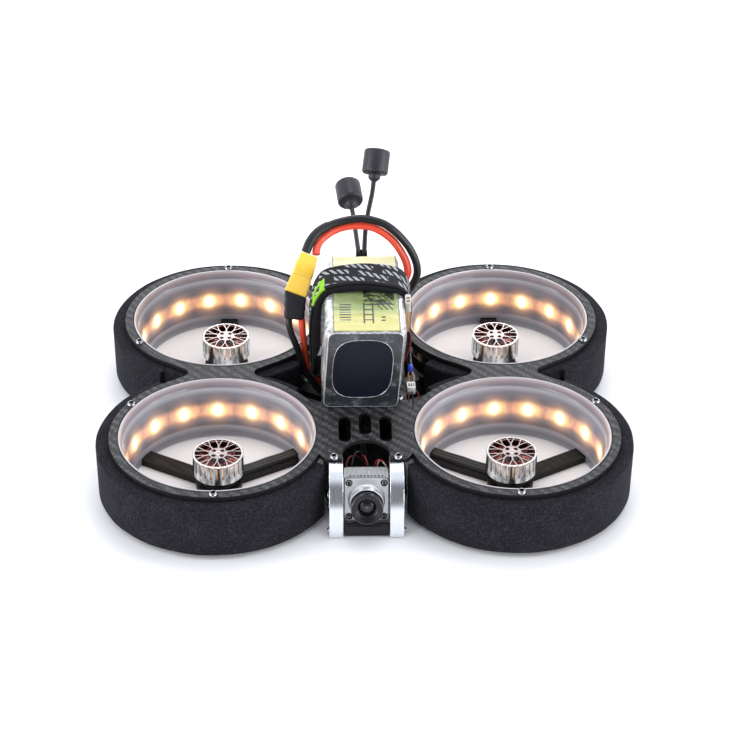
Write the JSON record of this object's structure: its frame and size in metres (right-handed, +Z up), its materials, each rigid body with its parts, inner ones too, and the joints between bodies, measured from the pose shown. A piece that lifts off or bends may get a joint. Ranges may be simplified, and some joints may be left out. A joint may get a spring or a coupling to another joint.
{
  "type": "ducted camera drone",
  "caption": "Ducted camera drone: carbon plates, frosted ducts with foam bumpers, motors, tilting camera, strapped battery and antennas.",
  "frame": {"origin": "on the ground, midway between the four motor axes, under the lower plate", "axes": "+X right, seen from behind the camera's image, with the camera facing -Y; +Z up"},
  "size_m": [0.23, 0.1982, 0.1039],
  "materials": {
    "carbon": "woven carbon fibre, 2x2 twill, matt",
    "foam": "closed-cell foam, matt, fine grain",
    "duct_plastic": "frosted translucent polycarbonate",
    "light_strip": "flexible strip with warm lights",
    "winding": "enamelled copper windings on a dark core",
    "bell_metal": "polished silver",
    "aluminium": "satin, anodised clear",
    "camera_metal": "grey anodised, satin",
    "black_plastic": "moulded, satin",
    "black_metal": "black anodised, satin",
    "lens_glass": "coated lens glass",
    "battery_wrap": "shrink wrap, slightly crinkled",
    "webbing": "woven strap with a rubberised pattern",
    "black_wire": "silicone, satin",
    "red_wire": "silicone, satin",
    "yellow_plug": "moulded nylon",
    "white_plug": "moulded nylon",
    "circuit_board": "black solder mask",
    "standoff": "black anodised"
  },
  "bodies": {
    "frame": {"top_plate": "carbon", "bottom_plate": "carbon", "duct_front_left": "duct_plastic", "foam_bumper_front_left": "foam", "light_strip_front_left": "light_strip", "motor_stator_front_left": "winding", "duct_front_right": "duct_plastic", "foam_bumper_front_right": "foam", "light_strip_front_right": "light_strip", "motor_stator_front_right": "winding", "duct_rear_left": "duct_plastic", "foam_bumper_rear_left": "foam", "light_strip_rear_left": "light_strip", "motor_stator_rear_left": "winding", "duct_rear_right": "duct_plastic", "foam_bumper_rear_right": "foam", "light_strip_rear_right": "light_strip", "motor_stator_rear_right": "winding", "camera_bracket_left": "aluminium", "camera_bracket_right": "aluminium", "camera_cross_bar": "black_plastic", "battery_pack": "battery_wrap", "battery_strap": "webbing", "power_socket": "yellow_plug", "battery_plug": "yellow_plug", "socket_boot": "black_plastic", "battery_lead_black": "black_wire", "battery_lead_red": "red_wire", "power_lead_black": "black_wire", "power_lead_red": "red_wire", "antenna_holder": "black_plastic", "antenna_cap_left": "black_plastic", "antenna_stem_left": "black_wire", "antenna_cap_right": "black_plastic", "antenna_stem_right": "black_wire", "esc_board": "circuit_board", "flight_controller": "circuit_board", "video_transmitter": "circuit_board", "stack_post_1": "standoff", "stack_post_2": "standoff", "stack_post_3": "standoff", "stack_post_4": "standoff", "standoff_front_left": "standoff", "standoff_front_right": "standoff", "standoff_rear_left": "standoff", "standoff_rear_right": "standoff", "balance_plug": "white_plug", "camera_lead": "black_wire"},
    "rotor_front_left": {"motor_bell_front_left": "bell_metal"},
    "rotor_front_right": {"motor_bell_front_right": "bell_metal"},
    "rotor_rear_left": {"motor_bell_rear_left": "bell_metal"},
    "rotor_rear_right": {"motor_bell_rear_right": "bell_metal"},
    "camera": {"camera_body": "camera_metal", "camera_face_plate": "camera_metal", "camera_pivot_screw_left": "black_metal", "camera_pivot_screw_right": "black_metal"},
    "lens": {"lens_barrel": "black_metal", "lens_glass": "lens_glass"},
    "boot_button": {"boot_button": "black_plastic"},
    "bind_button": {"bind_button": "black_plastic"}
  },
  "joints": [
    {"name": "motor_spin_front_left", "type": "hinge", "parent": "frame", "child": "rotor_front_left", "pos_m": [-0.06325, -0.04735, 0.0124], "axis": [0, 0, 1], "continuous": true},
    {"name": "motor_spin_front_right", "type": "hinge", "parent": "frame", "child": "rotor_front_right", "pos_m": [0.06325, -0.04735, 0.0124], "axis": [0, 0, 1], "continuous": true},
    {"name": "motor_spin_rear_left", "type": "hinge", "parent": "frame", "child": "rotor_rear_left", "pos_m": [-0.06325, 0.04735, 0.0124], "axis": [0, 0, 1], "continuous": true},
    {"name": "motor_spin_rear_right", "type": "hinge", "parent": "frame", "child": "rotor_rear_right", "pos_m": [0.06325, 0.04735, 0.0124], "axis": [0, 0, 1], "continuous": true},
    {"name": "camera_tilt", "type": "hinge", "parent": "frame", "child": "camera", "pos_m": [0, -0.07, 0.01206], "axis": [-1, 0, 0], "range_deg": [-8, 25]},
    {"name": "lens_focus", "type": "hinge", "parent": "camera", "child": "lens", "pos_m": [0, -0.07, 0.01206], "axis": [0, -0.9636, 0.2672], "range_deg": [-45, 45]},
    {"name": "boot_button_press", "type": "slide", "parent": "frame", "child": "boot_button", "axis": [-1, 0, 0], "range_m": [0, 0.00025], "stiffness_N_per_m": 400, "springref_m": -0.0005},
    {"name": "bind_button_press", "type": "slide", "parent": "frame", "child": "bind_button", "axis": [-1, 0, 0], "range_m": [0, 0.00025], "stiffness_N_per_m": 400, "springref_m": -0.0005}
  ]
}
